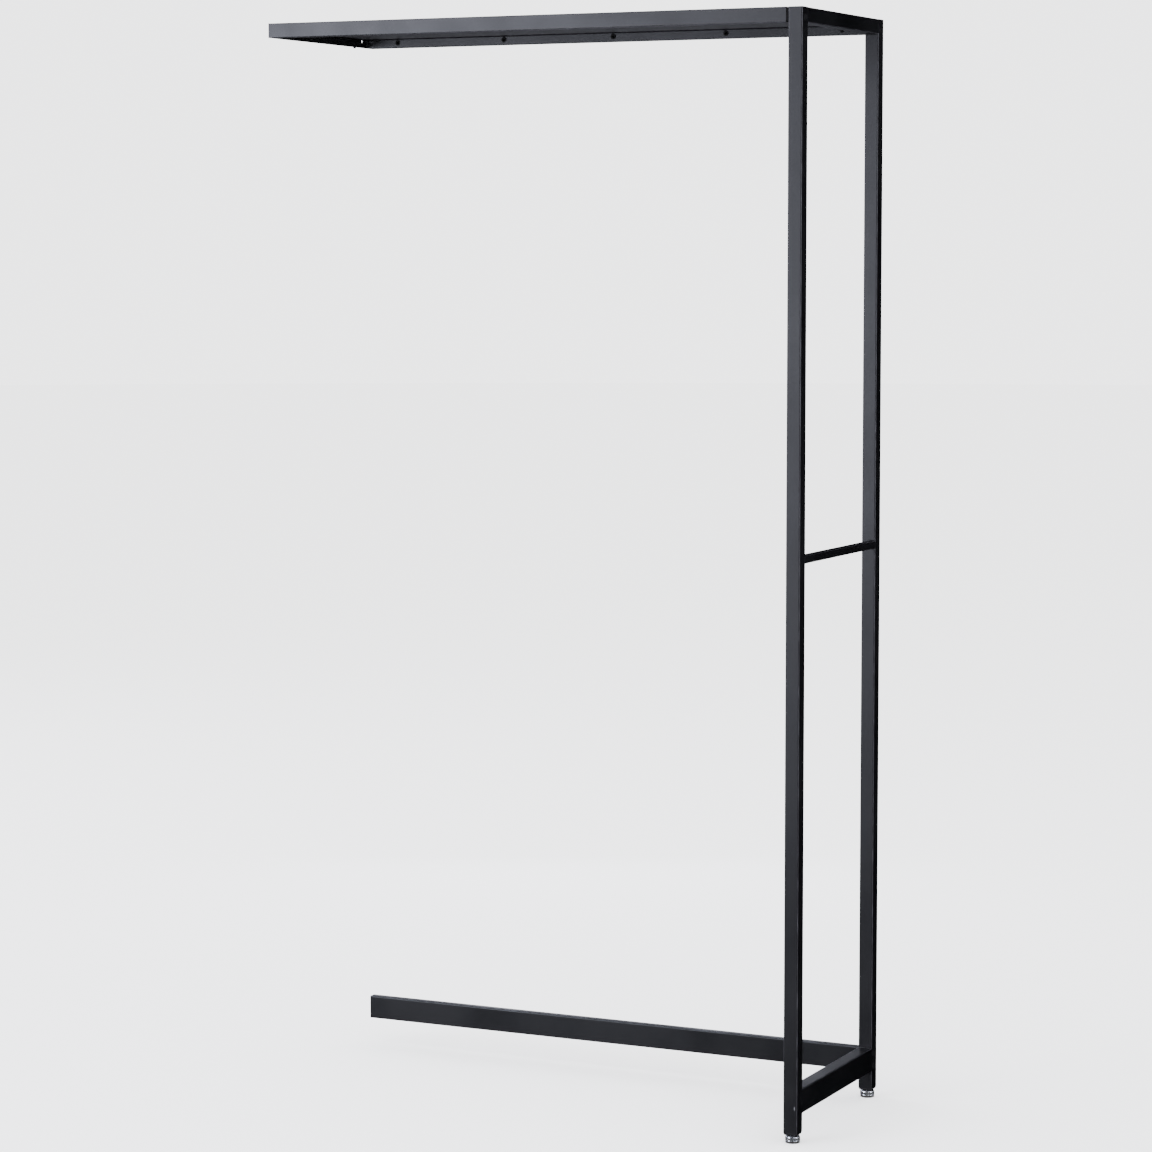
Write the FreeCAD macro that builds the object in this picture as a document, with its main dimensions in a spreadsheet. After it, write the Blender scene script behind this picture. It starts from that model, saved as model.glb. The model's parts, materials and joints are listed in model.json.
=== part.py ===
"""Add-on bay of a retail frame fixture.

It has one end frame on levelling feet, a top frame and a rear bottom beam. The bay is open at its left end, where its end plate and bottom beam bolt to the next unit.
Frame: +X towards the end frame, +Y towards the rear, +Z up, origin on the floor at the middle of the bay.
All sizes are in millimetres.
"""

import FreeCAD, Part
import os
import re

import Sketcher
from FreeCAD import Rotation, Vector

SIZES = [
    # overall
    ("overall_width", 1200, "left end plate to the outer face of the posts"),
    ("overall_depth", 450, "front face to rear face"),
    ("overall_height", 2250, "floor to the top of the frame"),
    ("foot_clearance", 20, "floor to the lower end of the posts"),
    # posts and the rails welded between them
    ("post_side", 30, "square tube of the posts and the top rail"),
    ("post_wall", 1.6, "tube wall"),
    ("post_corner", 2.5, "outer corner radius of the post tube"),
    ("cap_thickness", 3, "plate that closes the top of a post"),
    ("mid_side", 16, "square tube of the middle rail"),
    ("mid_corner", 1.5, "outer corner radius of the middle rail"),
    ("mid_height", 1160, "floor to the underside of the middle rail"),
    ("bottom_height", 57, "floor to the underside of the bottom rail and beam"),
    ("bottom_tall", 50, "height of the bottom rail and beam"),
    ("bottom_beam_depth", 20, "depth of the rear bottom beam"),
    # shelf bracket slots in the inner face of each post
    ("slot_width", 3.2, "width of a bracket slot"),
    ("slot_tall", 20, "height of a bracket slot"),
    ("slot_pitch", 50, "slot to slot"),
    ("slot_start", 150, "lower end of the post to the first slot"),
    ("slot_top_margin", 90, "least distance from the last slot to the top of the post"),
    # top frame: stepped tubes that carry a drop-in panel on their ledges
    ("beam_height", 30, "height of the top beams"),
    ("beam_depth", 30, "depth of the top beams"),
    ("beam_corner", 1.5, "outer corner radius of the top beams"),
    ("ledge_width", 12, "width of the ledge under the panel"),
    ("panel_thickness", 12, "panel, flush with the beams' tops"),
    ("panel_gap", 1, "gap round the panel"),
    ("plate_thickness", 2.3, "left end plate"),
    ("plate_hole_radius", 3.5, "clearance hole for an M6 screw"),
    ("plate_hole_inset", 50, "front or rear face to the hole"),
    ("plate_hole_drop", 4, "ledge of the beams down to the hole's centre"),
    ("tab_width", 8, "locating tab under the left end plate"),
    ("tab_drop", 2.5, "how far the tab reaches below the plate"),
    ("tab_inset", 79, "rear face to the nearer side of the tab"),
    # joints between the beams and the posts
    ("flange_thickness", 4.5, "joint flange between a top beam and its post"),
    ("flange_setback", 1.2, "how far the flange stays inside the tube outline"),
    ("spigot_length", 25, "part of a joint block inside its tube"),
    ("slip_gap", 0.2, "gap between a block and the tube it slides into"),
    ("bolt_radius", 4, "M8 joint bolt"),
    ("bolt_length", 25, "under the head"),
    ("bolt_head_radius", 6.5, "socket head"),
    ("bolt_head_height", 8, "socket head"),
    ("socket_flats", 6, "hexagon socket across flats"),
    ("socket_depth", 4, "hexagon socket"),
    ("bolt_clearance", 0.25, "radial gap of the bolt in the post's inner wall"),
    ("head_clearance", 1, "radial gap of the head in the outer wall, where the bolt goes in"),
    ("plug_body", 4, "how far a hole plug reaches in behind the wall"),
    ("plug_wall", 1.2, "wall of a hole plug"),
    ("bottom_bolt_spacing", 26, "between the two bolts of the bottom beam"),
    ("thread_gap", 0.05, "radial clearance of a thread or running fit"),
    # rivet nuts in the rear top beam
    ("nut_count", 5, "rivet nuts along the rear top beam"),
    ("nut_margin", 80, "end of the bay to the first rivet nut"),
    ("nut_drop", 7.5, "ledge of the beam down to the nuts' centres"),
    ("nut_bore", 2.5, "M6 thread"),
    ("nut_body_radius", 4.2, "shank of a rivet nut"),
    ("nut_body_length", 12, "shank of a rivet nut"),
    ("nut_flange_radius", 6, "flange of a rivet nut"),
    ("nut_flange_thickness", 0.8, "flange of a rivet nut"),
    # levelling feet
    ("stud_radius", 5, "M10 stud"),
    ("stud_top", 60, "floor to the top of the stud"),
    ("stud_foot", 7.6, "floor to the lower end of the stud"),
    ("stud_chamfer", 1, "lead on the stud's top"),
    ("cup_radius", 15, "steel cup of the foot"),
    ("cup_shoulder", 4.5, "rounding of the cup's upper edge"),
    ("cup_top", 15, "floor to the top of the cup"),
    ("cup_rim", 3.8, "floor to the lower edge of the cup"),
    ("sole_radius", 14.5, "rubber sole under the cup"),
    ("sole_thickness", 3.5, "rim of the sole"),
    ("sole_round", 0.8, "rounding of the sole's lower edge"),
    ("boss_radius", 11, "boss of the sole, inside the cup"),
    ("boss_height", 7, "floor to the top of the boss"),
    ("swivel_gap", 0.3, "gap between the cup and the boss"),
    ("insert_flange", 3, "flange of the foot insert below the post"),
    ("insert_inset", 1, "flange edge inside the post's face"),
    ("insert_length", 24, "part of the insert inside the post"),
    ("insert_clearance", 0.4, "radial gap of the stud in the insert"),
    ("foot_nut_flats", 17, "captive nut across flats"),
    ("foot_nut_height", 8, "captive nut"),
]
ALIASES = {alias for alias, value, note in SIZES}

# Places that several pieces share, as formulas of the sizes.
LEFT = "-overall_width / 2"
RIGHT = "overall_width / 2"
FRONT = "-overall_depth / 2"
REAR = "overall_depth / 2"
POST_INNER = "(overall_width / 2 - post_side)"
POST_X = "(overall_width / 2 - post_side / 2)"
POST_TALL = "(overall_height - foot_clearance - cap_thickness)"
RAIL_START = "(-overall_depth / 2 + post_side)"
RAIL_LENGTH = "(overall_depth - 2 * post_side)"
BEAM_BOTTOM = "(overall_height - beam_height)"
BEAM_LENGTH = "(overall_width - post_side - plate_thickness - flange_thickness)"
BEAM_END = "(overall_width / 2 - post_side - flange_thickness)"
LEDGE_HEIGHT = "(beam_height - panel_thickness)"
TOP_BOLT_Z = "(overall_height - beam_height + (beam_height - panel_thickness) / 2)"
BOTTOM_BEAM_Y = "(overall_depth / 2 - post_side)"
BOTTOM_BOLT_Y = "(overall_depth / 2 - post_side + bottom_beam_depth / 2)"
BOTTOM_BOLT_Z = "(bottom_height + bottom_tall / 2)"
ACCESS_RADIUS = "(bolt_head_radius + head_clearance)"
HEX_CORNER = "cos(30)"  # across flats over across corners

# A bar's profile is drawn in its local XY plane and runs along its local Z axis.
ALONG_X = Rotation(Vector(1, 1, 1), 120)  # local x, y, z become Y, Z, X
ALONG_Y = Rotation(Vector(1, 1, 1), 240)  # local x, y, z become Z, X, Y
ALONG_Z = Rotation()
TOWARDS = {"X": Rotation(Vector(0, 1, 0), 90), "Y": Rotation(Vector(1, 0, 0), -90), "Z": Rotation()}

RECTANGLE = [(0, 0), (1, 0), (1, 1), (0, 1)]
SKETCH_STEP = 10.0  # spacing of a sketch's corners before its constraints place them

doc = FreeCAD.newDocument("frame_bay")
sheet = doc.addObject("Spreadsheet::Sheet", "sizes")
for row, (alias, value, note) in enumerate(SIZES, start=1):
    sheet.set(f"A{row}", alias)
    sheet.set(f"B{row}", str(value))
    sheet.set(f"C{row}", note)
    sheet.setAlias(f"B{row}", alias)
doc.recompute()


# ---------------------------------------------------------------- helpers


def formula(text):
    """Give every size named in text the name of its cell in the sheet."""
    return re.sub(r"[a-z_]+", lambda word: f"sizes.{word[0]}" if word[0] in ALIASES else word[0], text)


def bind(thing, **properties):
    """Bind properties of an object to formulas of the sizes."""
    for name, text in properties.items():
        thing.setExpression(name, formula(text))


def place(thing, at, turn=ALONG_Z):
    """Turn an object and bind its place to three formulas."""
    thing.Placement = FreeCAD.Placement(Vector(), turn)
    for axis, text in zip("xyz", at):
        thing.setExpression(f"Placement.Base.{axis}", formula(text))
    return thing


def plane(body, role):
    """Return one of a body's own origin planes."""
    return next(item for item in body.Origin.OriginFeatures if item.Role == role)


def new_sketch(body, role="XY_Plane"):
    """Add an empty sketch on one of the body's origin planes."""
    sketch = body.newObject("Sketcher::SketchObject", f"{body.Name}_sketch")
    sketch.AttachmentSupport = [(plane(body, role), "")]
    sketch.MapMode = "FlatFace"
    return sketch


def hold(sketch, kind, line, point, text):
    """Hold a point at a distance from the sketch's origin, or on its axis where the distance is 0."""
    if text == "0":
        axis = -2 if kind == "DistanceX" else -1
        sketch.addConstraint(Sketcher.Constraint("PointOnObject", line, point, axis))
        return
    start = sketch.Geometry[line].StartPoint if point == 1 else sketch.Geometry[line].Center
    now = start.x if kind == "DistanceX" else start.y
    index = sketch.addConstraint(Sketcher.Constraint(kind, -1, 1, line, point, now))
    sketch.setExpression(f"Constraints[{index}]", formula(text))


def outline(sketch, levels_x, levels_y, path):
    """Draw a closed outline with sides along the axes; path lists its corners as (x level, y level)."""
    rough_x = [0.0 if text == "0" else SKETCH_STEP * (n + 1) for n, text in enumerate(levels_x)]
    rough_y = [0.0 if text == "0" else SKETCH_STEP * (n + 1) for n, text in enumerate(levels_y)]
    corners = [Vector(rough_x[i], rough_y[j], 0) for i, j in path]
    ends = corners[1:] + corners[:1]
    first = sketch.GeometryCount
    sketch.addGeometry([Part.LineSegment(a, b) for a, b in zip(corners, ends)], False)
    for n, (i, j) in enumerate(path):
        after = (n + 1) % len(path)
        sketch.addConstraint(Sketcher.Constraint("Coincident", first + n, 2, first + after, 1))
        upright = path[after][0] == i
        sketch.addConstraint(Sketcher.Constraint("Vertical" if upright else "Horizontal", first + n))
        kind, text = ("DistanceX", levels_x[i]) if upright else ("DistanceY", levels_y[j])
        hold(sketch, kind, first + n, 1, text)


def circle(sketch, x, y, radius):
    """Draw a circle whose centre and radius follow formulas."""
    rough = Part.Circle(Vector(SKETCH_STEP, SKETCH_STEP, 0), Vector(0, 0, 1), 1.0)
    index = sketch.addGeometry(rough, False)
    hold(sketch, "DistanceX", index, 3, x)
    hold(sketch, "DistanceY", index, 3, y)
    size = sketch.addConstraint(Sketcher.Constraint("Radius", index, 1.0))
    sketch.setExpression(f"Constraints[{size}]", formula(radius))


def pad(body, sketch, length, reverse=False):
    """Raise a sketch along its normal, or against it."""
    feature = body.newObject("PartDesign::Pad", f"{body.Name}_pad")
    feature.Profile = sketch
    feature.Reversed = reverse
    bind(feature, Length=length)
    doc.recompute()
    return feature


def round_edges(body, feature, radius, wanted):
    """Round the edges of a feature that the function wanted picks."""
    names = [f"Edge{n}" for n, edge in enumerate(feature.Shape.Edges, start=1) if wanted(edge)]
    rounding = body.newObject("PartDesign::Fillet", f"{body.Name}_rounding")
    rounding.Base = (feature, names)
    bind(rounding, Radius=radius)
    doc.recompute()
    return rounding


def bar(label, outer, inner, length, corner=None, sharp=()):
    """Make a straight bar or tube from an outer and an inner profile, its outer corners rounded.

    Each profile is (x levels, y levels, path); sharp lists the outer corners that stay square.
    """
    body = doc.addObject("PartDesign::Body", label)
    sketch = new_sketch(body)
    outline(sketch, *outer)
    if inner:
        outline(sketch, *inner)
    feature = pad(body, sketch, length)
    if corner:
        path = outer[2]
        points = [sketch.Geometry[n].StartPoint for n in range(len(path)) if n not in sharp]

        def is_long_corner(edge):
            a, b = edge.Vertexes[0].Point, edge.Vertexes[-1].Point
            across = Vector(b.x - a.x, b.y - a.y, 0).Length
            near = min(Vector(a.x - p.x, a.y - p.y, 0).Length for p in points)
            return across < 1e-6 and near < 1e-6

        round_edges(body, feature, corner, is_long_corner)
    return body


def square_tube(label, wide, tall, length, corner, wall="post_wall"):
    """Make a rectangular tube, wide along local x and tall along local y."""
    outer = (["0", wide], ["0", tall], RECTANGLE)
    inner = ([wall, f"{wide} - {wall}"], [wall, f"{tall} - {wall}"], RECTANGLE)
    return bar(label, outer, inner, length, corner)


def box(at, size):
    """Make a box from its lowest corner and its three sizes."""
    solid = doc.addObject("Part::Box", "block")
    bind(solid, Length=size[0], Width=size[1], Height=size[2])
    return place(solid, at)


def cylinder(at, radius, length, towards="Z"):
    """Make a cylinder that starts at a point and runs towards an axis."""
    solid = doc.addObject("Part::Cylinder", "round")
    bind(solid, Radius=radius, Height=length)
    return place(solid, at, TOWARDS[towards])


def hexagon(at, flats, length, towards="Z"):
    """Make a six-sided prism from its size across flats."""
    solid = doc.addObject("Part::Prism", "hexagon")
    solid.Polygon = 6
    bind(solid, Circumradius=f"{flats} / 2 / {HEX_CORNER}", Height=length)
    return place(solid, at, TOWARDS[towards])


def fuse(label, shapes):
    """Join solids into one."""
    joined = doc.addObject("Part::MultiFuse", label)
    joined.Shapes = shapes
    joined.Refine = True
    return joined


def cut(label, base, tools):
    """Cut tools out of a base."""
    result = doc.addObject("Part::Cut", label)
    result.Base = base
    result.Tool = tools[0] if len(tools) == 1 else fuse(f"{label}_tools", tools)
    return result


def group(label, solids):
    """Keep separate solids together under one name."""
    together = doc.addObject("Part::Compound", label)
    together.Links = solids
    return together


def turned(label, profile, at):
    """Turn a profile of (radius levels, height levels, path) about the local Z axis."""
    body = doc.addObject("PartDesign::Body", label)
    sketch = new_sketch(body, "XZ_Plane")
    outline(sketch, *profile)
    feature = body.newObject("PartDesign::Revolution", f"{label}_turning")
    feature.Profile = sketch
    feature.ReferenceAxis = (sketch, ["V_Axis"])
    feature.Angle = 360
    doc.recompute()
    place(body, at)
    return body, feature


def is_rim(radius, height):
    """Pick a circular edge by the name of its radius and by its height."""

    def wanted(edge):
        curve = edge.Curve
        if not isinstance(curve, Part.Circle):
            return False
        at_radius = abs(curve.Radius - sheet.get(radius)) < 1e-6
        return at_radius and abs(curve.Center.z - height) < 1e-6

    return wanted


# ---------------------------------------------------------------- end frame


def slotted_post(label, y):
    """Make a post tube with a row of bracket slots in its inner face."""
    body = square_tube(label, "post_side", "post_side", POST_TALL, "post_corner")
    place(body, (POST_INNER, y, "foot_clearance"))
    sketch = new_sketch(body, "YZ_Plane")
    across = ["(post_side - slot_width) / 2", "(post_side + slot_width) / 2"]
    outline(sketch, across, ["slot_start", "slot_start + slot_tall"], RECTANGLE)
    slot = body.newObject("PartDesign::Pocket", f"{label}_slot")
    slot.Profile = sketch
    slot.Reversed = True
    bind(slot, Length="2 * post_wall")
    doc.recompute()
    row = body.newObject("PartDesign::LinearPattern", f"{label}_slots")
    row.Originals = [slot]
    row.Direction = (sketch, ["V_Axis"])
    steps = f"floor(({POST_TALL} - slot_start - slot_tall - slot_top_margin) / slot_pitch)"
    bind(row, Length=f"{steps} * slot_pitch", Occurrences=f"{steps} + 1")
    body.Tip = row
    doc.recompute()
    return body


def bolt_way(y, z):
    """Return the two holes of one joint bolt: through the inner wall, and wide through the outer wall."""
    through = "3 * post_wall"
    inner = cylinder((f"{POST_INNER} - post_wall", y, z), "bolt_radius + bolt_clearance", through, "X")
    outer = cylinder((f"{RIGHT} - 2 * post_wall", y, z), ACCESS_RADIUS, through, "X")
    return [inner, outer]


TOP_BOLTS = [(f"{FRONT} + beam_depth / 2", TOP_BOLT_Z), (f"{REAR} - beam_depth / 2", TOP_BOLT_Z)]
BOTTOM_BOLTS = [(BOTTOM_BOLT_Y, f"{BOTTOM_BOLT_Z} {sign} bottom_bolt_spacing / 2") for sign in "-+"]

parts = {}
for end, y, bolts in (
    ("front", FRONT, TOP_BOLTS[:1]),
    ("rear", f"{REAR} - post_side", TOP_BOLTS[1:] + BOTTOM_BOLTS),
):
    ways = [hole for bolt in bolts for hole in bolt_way(*bolt)]
    parts[f"{end}_post"] = cut(f"{end}_post", slotted_post(f"{end}_post_tube", y), ways)

for end, y in (("front", FRONT), ("rear", f"{REAR} - post_side")):
    square = (["0", "post_side"], ["0", "post_side"], RECTANGLE)
    cap = bar(f"{end}_post_cap", square, None, "cap_thickness", "post_corner")
    parts[f"{end}_post_cap"] = place(cap, (POST_INNER, y, "overall_height - cap_thickness"))

top_rail = square_tube("end_top_rail", "post_side", "post_side", RAIL_LENGTH, "post_corner")
parts["end_top_rail"] = place(top_rail, (POST_INNER, RAIL_START, "overall_height - post_side"), ALONG_Y)
mid_rail = square_tube("end_mid_rail", "mid_side", "mid_side", RAIL_LENGTH, "mid_corner")
parts["end_mid_rail"] = place(mid_rail, (f"{RIGHT} - mid_side", RAIL_START, "mid_height"), ALONG_Y)
low_rail = square_tube("end_bottom_rail", "bottom_tall", "post_side", RAIL_LENGTH, "post_corner")
parts["end_bottom_rail"] = place(low_rail, (POST_INNER, RAIL_START, "bottom_height"), ALONG_Y)

# ---------------------------------------------------------------- top frame

STEP_UP = ["0", LEDGE_HEIGHT, "beam_height"]
FRONT_STEP = [(0, 0), (2, 0), (2, 1), (1, 1), (1, 2), (0, 2)]  # ledge on the rear side
REAR_STEP = [(0, 0), (2, 0), (2, 2), (1, 2), (1, 1), (0, 1)]  # ledge on the front side


def stepped(across, up, path, inset):
    """Return a stepped profile drawn in by inset on every side."""
    last_x, last_y = across[2], up[2]
    grows = "-" if path is FRONT_STEP else "+"
    levels_x = [inset, f"{across[1]} {grows} {inset}", f"{last_x} - {inset}"]
    levels_y = [inset, f"{up[1]} - {inset}", f"{last_y} - {inset}"]
    return levels_x, levels_y, path


FRONT_ACROSS = ["0", "beam_depth - ledge_width", "beam_depth"]
REAR_ACROSS = ["0", "ledge_width", "beam_depth"]
BEAMS = {
    "front": (FRONT_ACROSS, FRONT_STEP, FRONT, 3),
    "rear": (REAR_ACROSS, REAR_STEP, f"{REAR} - beam_depth", 4),
}

for end, (across, path, y, inner_corner) in BEAMS.items():
    outer = (across, STEP_UP, path)
    inner = stepped(across, STEP_UP, path, "post_wall")
    tube = bar(f"{end}_beam_tube", outer, inner, BEAM_LENGTH, "beam_corner", sharp=[inner_corner])
    place(tube, (f"{LEFT} + plate_thickness", y, BEAM_BOTTOM), ALONG_X)
    parts[f"{end}_top_beam"] = tube

    # The joint block: a flange at the end of the beam and a spigot inside it, with a thread for the bolt.
    block = doc.addObject("PartDesign::Body", f"{end}_beam_joint_block")
    thread = ("beam_depth / 2", f"{LEDGE_HEIGHT} / 2", "bolt_radius + thread_gap")
    flange = new_sketch(block)
    outline(flange, *stepped(across, STEP_UP, path, "flange_setback"))
    circle(flange, *thread)
    pad(block, flange, "flange_thickness")
    spigot = new_sketch(block)
    fit = "(post_wall + slip_gap)"
    outline(spigot, [fit, f"beam_depth - {fit}"], [fit, f"{LEDGE_HEIGHT} - {fit}"], RECTANGLE)
    circle(spigot, *thread)
    pad(block, spigot, "spigot_length", reverse=True)
    parts[f"{end}_beam_joint_block"] = place(block, (BEAM_END, y, BEAM_BOTTOM), ALONG_X)

nut_row = []
nut_ways = []
for n in range(int(sheet.get("nut_count"))):
    x = f"{LEFT} + nut_margin + {n} * (overall_width - 2 * nut_margin) / (nut_count - 1)"
    z = f"{BEAM_BOTTOM} + {LEDGE_HEIGHT} - nut_drop"
    face = f"({REAR} - beam_depth)"
    flange_at = (x, f"{face} - nut_flange_thickness", z)
    flange = cylinder(flange_at, "nut_flange_radius", "nut_flange_thickness", "Y")
    shank = cylinder((x, face, z), "nut_body_radius", "nut_body_length", "Y")
    bore_length = "nut_body_length + 3 * nut_flange_thickness"
    bore = cylinder((x, f"{face} - 2 * nut_flange_thickness", z), "nut_bore", bore_length, "Y")
    nut_row.append(cut(f"rivet_nut_{n + 1}", fuse(f"nut_blank_{n + 1}", [flange, shank]), [bore]))
    way_at = (x, f"{face} - post_wall", z)
    nut_ways.append(cylinder(way_at, "nut_body_radius + thread_gap", "3 * post_wall", "Y"))
parts["rear_top_beam"] = cut("rear_top_beam", parts["rear_top_beam"], nut_ways)
parts["rear_beam_rivet_nuts"] = group("rear_beam_rivet_nuts", nut_row)

# The left end plate, with a screw hole near each end and one locating tab below it.
plate = doc.addObject("PartDesign::Body", "left_end_plate")
plate_sketch = new_sketch(plate)
tab_far = "overall_depth - tab_inset"
plate_across = ["0", f"{tab_far} - tab_width", tab_far, "overall_depth"]
plate_up = ["0", "tab_drop", "tab_drop + beam_height"]
plate_path = [(0, 1), (1, 1), (1, 0), (2, 0), (2, 1), (3, 1), (3, 2), (0, 2)]
outline(plate_sketch, plate_across, plate_up, plate_path)
for across in ("plate_hole_inset", "overall_depth - plate_hole_inset"):
    circle(plate_sketch, across, f"tab_drop + {LEDGE_HEIGHT} - plate_hole_drop", "plate_hole_radius")
pad(plate, plate_sketch, "plate_thickness")
parts["left_end_plate"] = place(plate, (LEFT, FRONT, f"{BEAM_BOTTOM} - tab_drop"), ALONG_X)

panel_side = "beam_depth - ledge_width + panel_gap"
parts["top_panel"] = box(
    (
        f"{LEFT} + plate_thickness + panel_gap",
        f"{FRONT} + {panel_side}",
        "overall_height - panel_thickness",
    ),
    (
        "overall_width - post_side - plate_thickness - 2 * panel_gap",
        f"overall_depth - 2 * ({panel_side})",
        "panel_thickness",
    ),
)

# ---------------------------------------------------------------- rear bottom beam

low_beam_length = "overall_width - post_side"
low_beam_section = ("bottom_beam_depth", "bottom_tall")
low_beam = square_tube("rear_bottom_beam", *low_beam_section, low_beam_length, "post_corner")
parts["rear_bottom_beam"] = place(low_beam, (LEFT, BOTTOM_BEAM_Y, "bottom_height"), ALONG_X)

fit = "(post_wall + slip_gap)"
for end, x in (("left", LEFT), ("right", f"{POST_INNER} - spigot_length")):
    block = doc.addObject("PartDesign::Body", f"bottom_beam_{end}_block")
    sketch = new_sketch(block)
    block_across = [fit, f"bottom_beam_depth - {fit}"]
    block_up = [fit, f"bottom_tall - {fit}"]
    outline(sketch, block_across, block_up, RECTANGLE)
    for sign in "-+":
        up = f"bottom_tall / 2 {sign} bottom_bolt_spacing / 2"
        circle(sketch, "bottom_beam_depth / 2", up, "bolt_radius + thread_gap")
    pad(block, sketch, "spigot_length")
    parts[f"bottom_beam_{end}_block"] = place(block, (x, BOTTOM_BEAM_Y, "bottom_height"), ALONG_X)

# ---------------------------------------------------------------- joint bolts and hole plugs


def joint_bolt(y, z):
    """Make a socket-head bolt that sits on the post's inner wall, inside the tube."""
    seat = f"({POST_INNER} + post_wall)"
    shank = cylinder((f"{seat} - bolt_length", y, z), "bolt_radius", "bolt_length", "X")
    head = cylinder((seat, y, z), "bolt_head_radius", "bolt_head_height", "X")
    socket_x = f"{seat} + bolt_head_height - socket_depth"
    socket = hexagon((socket_x, y, z), "socket_flats", "2 * socket_depth", "X")
    return cut("joint_bolt", fuse("bolt_blank", [shank, head]), [socket])


def hole_plug(y, z):
    """Make a cup-shaped plug that closes an access hole flush with the post's outer face."""
    x = f"({RIGHT} - post_wall - plug_body)"
    depth = "post_wall + plug_body"
    blank = cylinder((x, y, z), f"{ACCESS_RADIUS} - thread_gap", depth, "X")
    hollow = cylinder((f"{x} - plug_wall", y, z), f"{ACCESS_RADIUS} - plug_wall", depth, "X")
    return cut("hole_plug", blank, [hollow])


for name, bolts in (("top_frame_bolts", TOP_BOLTS), ("bottom_beam_bolts", BOTTOM_BOLTS)):
    parts[name] = group(name, [joint_bolt(*bolt) for bolt in bolts])
plugs = [hole_plug(*bolt) for bolt in TOP_BOLTS + BOTTOM_BOLTS]
parts["bolt_hole_plugs"] = group("bolt_hole_plugs", plugs)

# ---------------------------------------------------------------- levelling feet

# Half profiles as (radius levels, height levels, path).
CUP_PROFILE = (
    ["stud_radius + thread_gap", "boss_radius + swivel_gap", "cup_radius"],
    ["cup_rim", "boss_height + swivel_gap", "cup_top"],
    [(0, 1), (1, 1), (1, 0), (2, 0), (2, 2), (0, 2)],
)
SOLE_PROFILE = (
    ["0", "boss_radius", "sole_radius"],
    ["0", "sole_thickness", "boss_height"],
    [(0, 0), (2, 0), (2, 1), (1, 1), (1, 2), (0, 2)],
)


def centred_block(y, z, side, height):
    """Make a square block on the axis of a post."""
    return box((f"{POST_X} - {side} / 2", f"{y} - {side} / 2", z), (side, side, height))


for end, y in (("front", f"({FRONT} + post_side / 2)"), ("rear", f"({REAR} - post_side / 2)")):
    on_floor = (POST_X, y, "0")

    # The insert: a plug with a flange below the post, bored for the stud, with a pocket for its nut.
    flange_side = "(post_side - 2 * insert_inset)"
    plug_side = "(post_side - 2 * post_wall - 2 * slip_gap)"
    flange = centred_block(y, "foot_clearance - insert_flange", flange_side, "insert_flange")
    plug = centred_block(y, "foot_clearance", plug_side, "insert_length")
    way_z = "foot_clearance - 2 * insert_flange"
    way_radius = "stud_radius + insert_clearance"
    way = cylinder((POST_X, y, way_z), way_radius, "insert_length + 3 * insert_flange")
    nut_z = "(foot_clearance + insert_length - foot_nut_height)"
    pocket = hexagon((POST_X, y, nut_z), "foot_nut_flats + 2 * slip_gap", "2 * foot_nut_height")
    blank = fuse(f"{end}_foot_insert_blank", [flange, plug])
    parts[f"{end}_foot_insert"] = cut(f"{end}_foot_insert", blank, [way, pocket])

    nut_blank = hexagon((POST_X, y, nut_z), "foot_nut_flats", "foot_nut_height")
    bore_at = (POST_X, y, f"{nut_z} - foot_nut_height")
    nut_bore = cylinder(bore_at, "stud_radius + thread_gap", "3 * foot_nut_height")
    parts[f"{end}_foot_nut"] = cut(f"{end}_foot_nut", nut_blank, [nut_bore])

    stud_profile = (["0", "stud_radius"], ["stud_foot", "stud_top"], RECTANGLE)
    stud, blank = turned(f"{end}_foot_stud", stud_profile, on_floor)
    round_edges(stud, blank, "stud_chamfer", is_rim("stud_radius", sheet.get("stud_top")))
    parts[f"{end}_foot_stud"] = stud

    cup, blank = turned(f"{end}_foot_cup", CUP_PROFILE, on_floor)
    round_edges(cup, blank, "cup_shoulder", is_rim("cup_radius", sheet.get("cup_top")))
    parts[f"{end}_foot_cup"] = cup

    sole, blank = turned(f"{end}_foot_sole", SOLE_PROFILE, on_floor)
    round_edges(sole, blank, "sole_round", is_rim("sole_radius", 0.0))
    parts[f"{end}_foot_sole"] = sole

# ---------------------------------------------------------------- check and export

doc.recompute()
for name, part in parts.items():
    part.Label = name
for item in doc.Objects:
    if "Invalid" in item.State or "Error" in item.State:
        raise RuntimeError(f"{item.Label} failed: {item.State}")
for name, part in parts.items():
    if part.Shape.isNull() or not part.Shape.isValid() or part.Shape.Volume <= 0:
        raise RuntimeError(f"{name} has no valid shape")
    if part.Label != name:
        raise RuntimeError(f"the label {name} is taken")

os.makedirs("parts", exist_ok=True)
for name, part in parts.items():
    part.Shape.exportStep(f"parts/{name}.step")
    size = part.Shape.BoundBox
    sides = f"{size.XLength:.1f} x {size.YLength:.1f} x {size.ZLength:.1f}"
    print(f"{name}: {len(part.Shape.Solids)} solid, {sides}")
print(f"{len(parts)} sub-parts")
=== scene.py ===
# %% [markdown]
# # A black frame bay for shop shelving
#
# The object is one add-on bay of a frame fixture: an end frame of square steel tube on two levelling feet,
# a top frame that holds a drop-in panel, and one beam low down at the rear. Its left end is open and bolts to
# the next bay. The CAD model already holds every tube, bolt and nut at its real size, so Blender doesn't
# rebuild them. It adds what a CAD tool leaves plain: pressed and threaded feet, welds, eased edges, and
# finishes that look like powder coat, zinc plate, rubber and laminate.
#
# The first cell loads the imported model. Each CAD part is an object at the origin with its place in its mesh,
# so a new piece only has to be computed at the right place. The box is kept, to be printed at the end beside
# the box of the finished model.

# %% Load the CAD frame
import json

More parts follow.
